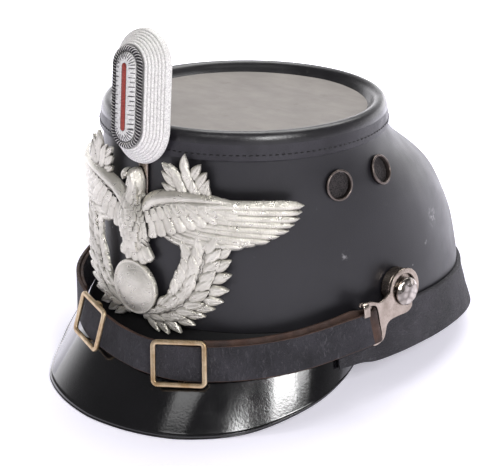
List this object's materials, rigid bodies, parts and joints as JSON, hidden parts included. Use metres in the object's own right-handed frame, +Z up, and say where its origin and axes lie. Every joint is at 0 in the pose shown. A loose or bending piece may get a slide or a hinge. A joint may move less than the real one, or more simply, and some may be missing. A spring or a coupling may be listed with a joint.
{
  "type": "shako hat",
  "caption": "Stiff black shako with a dished leather top, patent front peak, neck guard, buckled chin strap, silver relief plate and an oval cockade.",
  "frame": {"origin": "on the table under the middle of the hat's box", "axes": "+Z up, the wearer faces -Y, the wearer's left is +X"},
  "size_m": [0.1936, 0.2586, 0.1828],
  "materials": {
    "crown": "satin black",
    "top": "worn grey leather",
    "patent": "gloss black patent",
    "leather": "matte black",
    "brass": "worn satin",
    "nickel": "worn satin",
    "gauze": "dark wire",
    "silver": "bright silver",
    "thread": "silver thread",
    "cord": "twisted black and silver thread",
    "red": "red cloth"
  },
  "bodies": {
    "root": {"crown": "crown", "crown_top": "top", "front_peak": "patent", "neck_guard": "leather", "chin_strap": "leather", "strap_buckle_left": "brass", "strap_buckle_right": "brass", "strap_claw_left": "nickel", "strap_claw_right": "nickel", "side_stud_left": "nickel", "side_stud_right": "nickel", "vent_rim_front_left": "nickel", "vent_rim_front_right": "nickel", "vent_gauze_front_left": "gauze", "vent_gauze_front_right": "gauze", "vent_rim_rear_left": "nickel", "vent_rim_rear_right": "nickel", "vent_gauze_rear_left": "gauze", "vent_gauze_rear_right": "gauze", "front_plate": "silver", "cockade_body": "thread", "cockade_cord": "cord", "cockade_slit": "red"}
  },
  "joints": []
}
